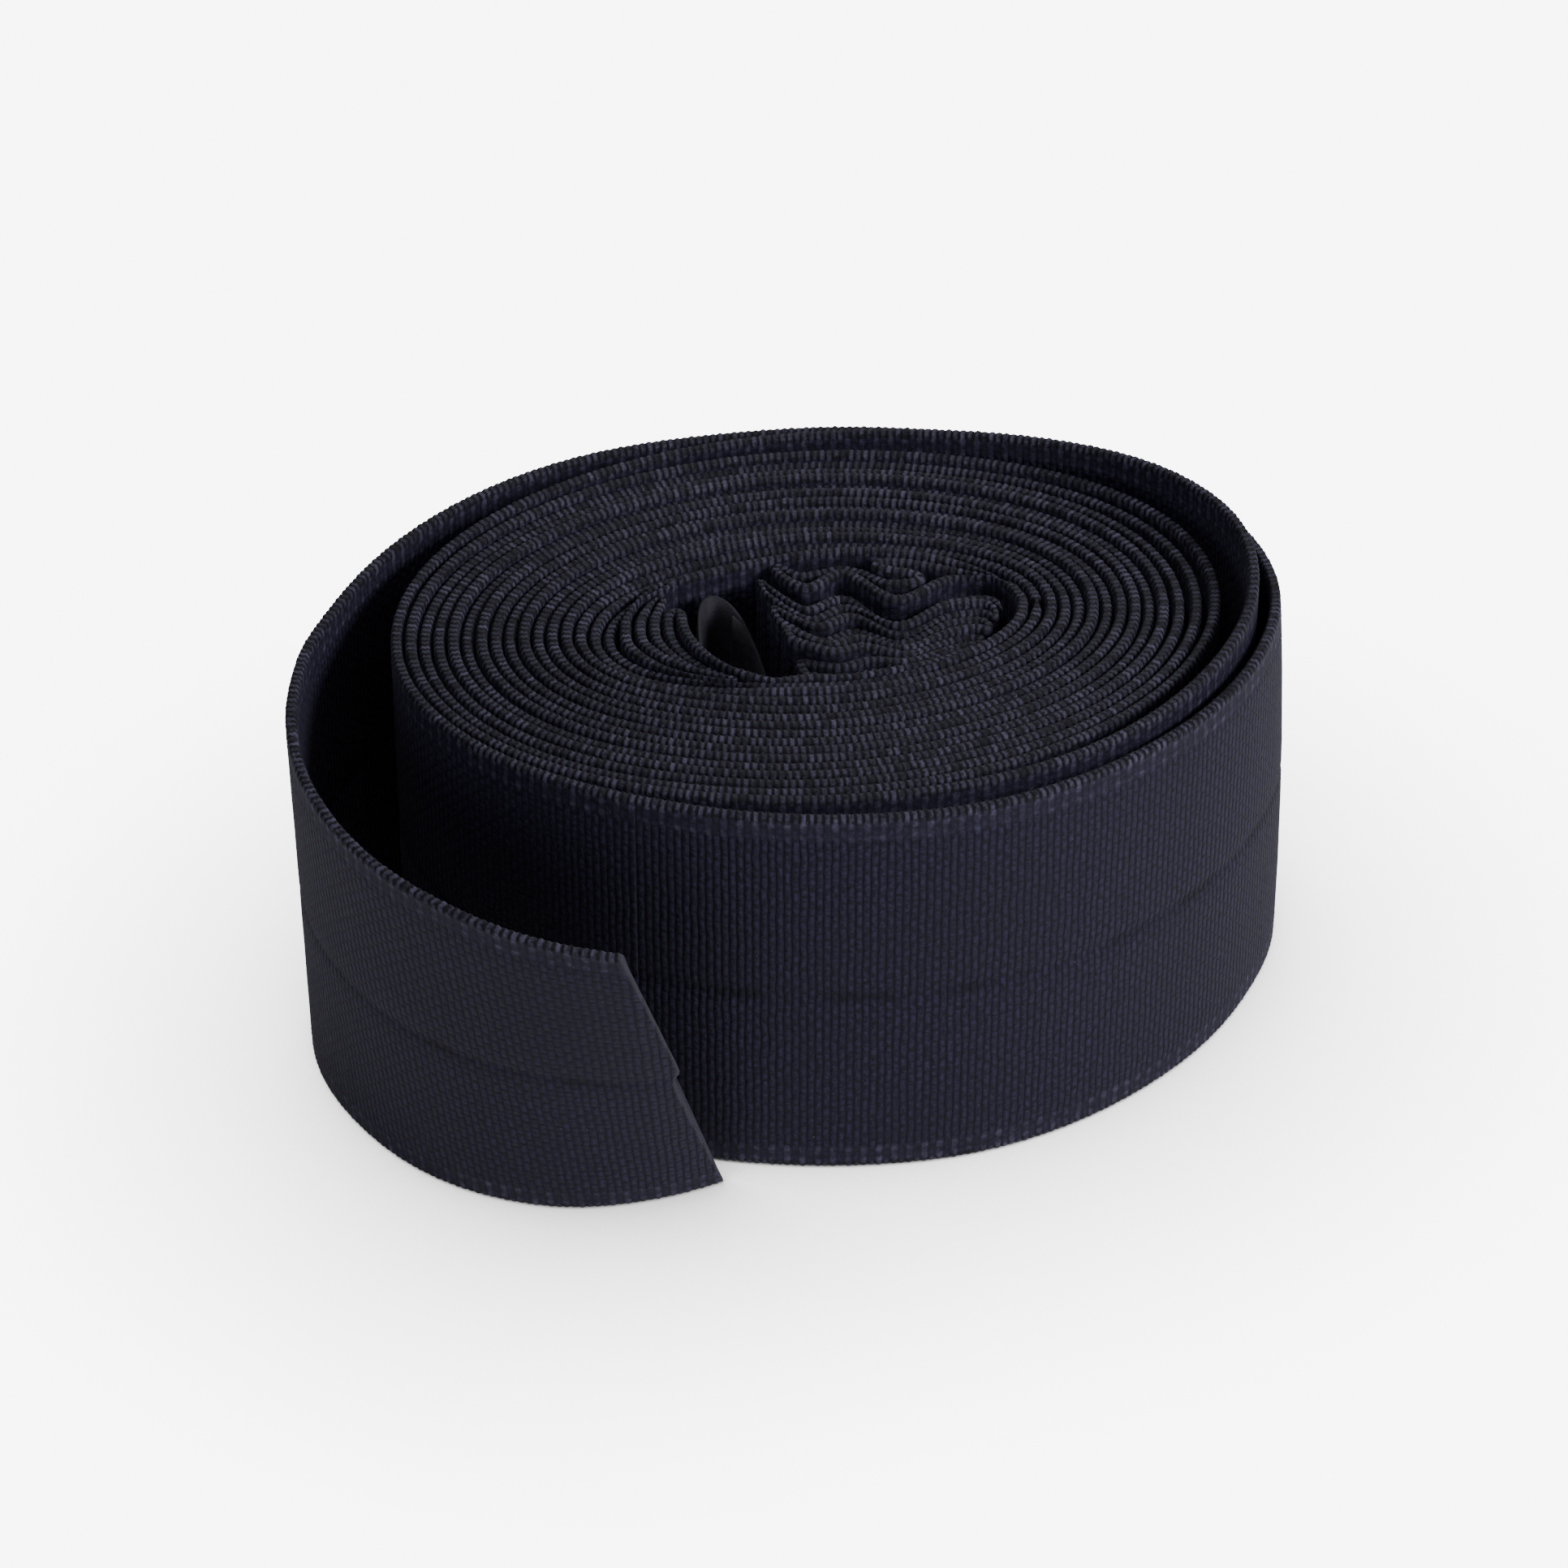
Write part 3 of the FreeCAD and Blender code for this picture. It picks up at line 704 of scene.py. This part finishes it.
def bend(obj, angle):
    """Bakes obj's placing into its mesh. The band's direction at the joint's turn angle is worked out but
    not used.
    """
    here = centre(angle, 0.5)
    ahead, behind = centre(angle + 0.5, 0.5), centre(angle - 0.5, 0.5)
    along = ahead - behind
    along[2] = 0
    along /= np.linalg.norm(along)
    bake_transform(obj)


def free_end_at(share):
    """The slanted cut of the free end, with a small step at the mid crease."""
    straight = FREE_END_LOW + (FREE_END_HIGH - FREE_END_LOW) * share
    return straight + 0.55 * np.tanh((share - 0.5) / 0.015) * np.clip(share / 0.3, 0, 1)


def make_tight_turns(material):
    for i, (start, end) in enumerate(zip(TIGHT_CUTS, TIGHT_CUTS[1:])):
        obj = stretch(f"tight_turns_{i + 1}", start, end, PLAIN, material)
        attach(obj, "roll")
        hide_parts("tight_turns")


def make_outer_turns(material):
    obj = stretch("second_turn_band", SECOND_TURN_START, OUTER_TURN_START, RICH, material)
    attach(obj, "roll")
    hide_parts("second_turn")
    # The two bodies that each stretch joins, its joint's angle, how far its bend reaches before and after
    # the joint, and the CAD nodes it stands for.
    bends = [
        ("roll", "right_stretch", RIGHT_BEND, 10, 10, ["outer_turn_front"]),
        ("right_stretch", "back_stretch", BACK_RIGHT_BEND, 10, 3, ["outer_turn_right"]),
        ("back_stretch", "back_left_stretch", BACK_LEFT_BEND, 3, 10, ["outer_turn_back"]),
        ("back_left_stretch", "left_stretch", LEFT_BEND, 9, 9, ["outer_turn_back_left"]),
        ("left_stretch", "front_left_stretch", LEFT_END_BEND, 9, 9, ["outer_turn_left"]),
        ("front_left_stretch", "flap", FLAP_BEND, 9.5, 5.5, ["outer_turn_front_left", "free_end_flap"]),
    ]
    for i, (first, second, angle, before, after, nodes) in enumerate(bends):
        start, end = LOOSE_CUTS[i], LOOSE_CUTS[i + 1]
        end_at = free_end_at if end == FREE_END_LOW else None
        obj = stretch(f"loose_turn_{i + 1}", start, end, RICH, material, end_at)
        bend(obj, angle)
        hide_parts(*nodes)


def make_core(material):
    plan = core_line()
    around = centre(np.arange(CORE_END + 1, CORE_END + 400, 1.0), 0.0)[:, :2]
    at = running(plan)
    sunk = np.clip((at - at[-1] * 0.62) / 12.0, 0, 1)
    uneven = 0.4 * np.sin(at * 0.07) + 0.3 * np.sin(at * 0.19 + 1) - 0.4
    tops = uneven * np.clip(at / 20.0, 0, 1) - 0.9 * sunk
    obj = line_sweep("core_folds_band", plan, -at[-1], FULL, band_room(plan, around, at[1]), tops)
    obj.data.materials.append(material)
    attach(obj, "roll")
    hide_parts("core_folds")


def make_patch(kind, first, last, slant, side, body, cloth, thread):
    """One half of the fastening: its woven ground, its hooks or loops, and the seam around it. side is 1
    on the band's outer face and -1 on its inner face."""
    face = THICKNESS / 2 + PATCH_GAP
    top_face = face + PATCH_GROUND
    base = patch_base(f"{kind}_patch_ground", first, last, slant, side, face, top_face)
    base.data.materials.append(cloth)
    if kind == "hook":
        shape = strand_shape(HOOK, 0.1, 5)
        top = tufts("hook_patch_hooks", first, last, slant, side, top_face, HOOK_PITCH, shape, 0.04)
    else:
        shape = strand_shape(PILE_LOOP, 0.085, 4)
        top = tufts("loop_patch_pile", first, last, slant, side, top_face, PILE_PITCH, shape, 0.3)
    top.data.materials.append(cloth)
    stitches = seam(f"{kind}_patch_seam", first, last, slant, side, top_face)
    stitches.data.materials.append(thread)
    node = f"{kind}_patch"
    for obj, name in ((base, node), (top, node), (stitches, node + "_stitching")):
        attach(obj, body)
        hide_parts(name)


def make_thumb_loop(tape, thread):
    """The tape sewn into a loop in the core's hole, its ends lapped under a block of zigzag stitches."""
    lap_start, end = 296.0, 318.0
    around = np.linspace(-64.0, end, 160)
    lap = np.clip((around - lap_start) / (end - lap_start), 0, 1)
    c, s = np.cos(np.radians(around)), np.sin(np.radians(around))
    half_length, half_width, moved_left = 9.3, 3.3, 0.9
    x, y = turned((half_length - lap) * c, (half_width - lap) * s, HOLE_LEAN)
    plan = rounded(np.stack([x + HOLE_CENTRE[0] - moved_left, y + HOLE_CENTRE[1]], -1), 0.3, 2)
    half = LOOP_TAPE_THICKNESS / 2
    rows = flat_rows(LOOP_TAPE_BOTTOM, LOOP_TAPE_BOTTOM + LOOP_TAPE_WIDTH, -half, half)
    far = np.linalg.norm(plan - THUMB_LOOP_HIGH_SIDE, axis=1)
    tops = 6.0 * np.exp(-(far / 8.5) ** 2) - 3.0
    obj = line_sweep("thumb_loop_tape", plan, 0.0, rows, np.ones(len(plan)), tops)
    obj.data.materials.append(tape)
    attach(obj, "roll")
    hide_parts("thumb_loop")

    place, along = bartack_place(plan)
    count = 30
    zigzag = [((-1) ** k * 2.8, 0.0, 23.0 + 12.0 * k / count) for k in range(count + 1)]
    local, faces = strand_shape(zigzag, 0.2, 6)
    out = np.array([-along[1], along[0], 0.0])
    directions = (along, out, np.array([0, 0, 1.0]))
    stitches = many("thumb_loop_bartack_stitches", [(local, faces)], [place], [directions])
    stitches.data.materials.append(thread)
    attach(stitches, "roll")
    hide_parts("thumb_loop_bartack")


def bartack_place(plan):
    """The inner face of the tape's lap, and the direction along the tape there."""
    i = len(plan) - 12
    along = plan[i + 2] - plan[i - 2]
    along = np.array([along[0], along[1], 0.0]) / np.linalg.norm(along)
    inward = np.array([-along[1], along[0], 0.0])
    return np.array([plan[i][0], plan[i][1], 0.0]) + inward * 0.5, along


def floor_material():
    """A pale floor that photographs almost white, with a faint shadow, partly real from the lamps and partly
    painted. Only the camera sees its glow, which fades near the object and in gaps as a painted shadow, so
    it doesn't light the cloth."""
    n = Nodes("floor")
    place = n.make("ShaderNodeTexCoord").outputs["Object"]
    shade = n.mix(n.noise(place, 3.0), (0.88, 0.88, 0.875, 1), (0.9, 0.9, 0.895, 1))
    n.finish(shade, 0.6, n.bump(n.noise(place, 300.0), 0.02, 0.0005), sheen=0.0)
    glow = n.make("ShaderNodeEmission")
    shadow_fade = n.make("ShaderNodeAmbientOcclusion", samples=8)
    shadow_fade.inputs["Distance"].default_value = 0.05
    # The glow dims where the floor is hemmed in by the object: a painted shadow near its base and in its
    # gaps.
    strength = n.math("MULTIPLY", n.math("POWER", shadow_fade.outputs["AO"], 2.0), 9.0)
    n.put(glow.inputs["Strength"], strength)
    blend = n.make("ShaderNodeMixShader")
    seen = n.make("ShaderNodeLightPath").outputs["Is Camera Ray"]
    n.put(blend.inputs[0], n.math("MULTIPLY", seen, 0.85))
    n.put(blend.inputs[1], n.shader.outputs[0])
    n.put(blend.inputs[2], glow.outputs[0])
    n.put(n.tree.nodes["Material Output"].inputs[0], blend.outputs[0])
    return n.material


def lamp(name, place, size, power, colour=(1, 1, 1)):
    """A round soft light aimed at the object."""
    data = bpy.data.lights.new(name, "AREA")
    data.shape = "DISK"
    data.size, data.energy, data.color = size, power, colour
    obj = bpy.data.objects.new(name, data)
    obj.location = place
    obj.rotation_euler = (Vector(LAMP_TARGET) - Vector(place)).to_track_quat("-Z", "Y").to_euler()
    bpy.context.scene.collection.objects.link(obj)


def set_stage():
    """A pale floor, a white world and soft studio lights, with the camera where the photo's was."""
    bpy.ops.mesh.primitive_plane_add(size=6, location=(0, 0, 0))
    floor = bpy.context.object
    floor.data.materials.append(floor_material())

    world = bpy.data.worlds.new("studio")
    world.use_nodes = True
    world.node_tree.nodes["Background"].inputs[0].default_value = (1, 1, 1, 1)
    world.node_tree.nodes["Background"].inputs[1].default_value = 0.2
    bpy.context.scene.world = world

    lamp("key", (0.78, -0.4, 0.58), 0.35, 12.0)
    lamp("top", (-0.1, -0.25, 0.9), 0.5, 3.0)
    lamp("back", (0.2, 0.85, 0.45), 0.6, 3.4)
    lamp("fill", (-0.45, -0.85, 0.3), 0.5, 2.1, (0.94, 0.95, 1.0))

    camera = bpy.data.cameras.new("camera")
    camera.lens, camera.sensor_width = 128.2, 36.0
    camera.clip_start = 0.01
    view = bpy.data.objects.new("camera", camera)
    raised = math.radians(CAMERA_ELEVATION)
    view.location = Vector(AIM) + CAMERA_DISTANCE * Vector((0, -math.cos(raised), math.sin(raised)))
    view.rotation_euler = (math.pi / 2 - raised, 0, 0)
    bpy.context.scene.collection.objects.link(view)
    bpy.context.scene.camera = view


band = band_material()
tape = plain_cloth("loop_tape", (0.0045, 0.0042, 0.0075, 1), (0.013, 0.012, 0.021, 1), 900.0, 0.05)
nylon = plain_cloth("hook_nylon", (0.008, 0.008, 0.009, 1), (0.02, 0.02, 0.022, 1), 1500.0, 0.0)
pile = plain_cloth("loop_pile", (0.008, 0.008, 0.01, 1), (0.022, 0.021, 0.027, 1), 1200.0, 0.1)
thread = plain_cloth("thread", (0.01, 0.01, 0.012, 1), (0.028, 0.027, 0.034, 1), 2000.0, 0.1)
make_core(band)
make_tight_turns(band)
make_outer_turns(band)
hook_slant = 1.15 * (length_at(FREE_END_LOW) - length_at(FREE_END_HIGH)) - 3.0
make_patch("hook", length_at(FLAP_BEND) + 6.0, length_at(FREE_END_LOW) - 5.0, hook_slant, -1, "flap",
           nylon, thread)
make_patch("loop", length_at(BACK_RIGHT_BEND) + 3.0, length_at(BACK_LEFT_BEND) - 3.0, 0.0, 1,
           "back_stretch", pile, thread)
make_thumb_loop(tape, thread)
set_stage()
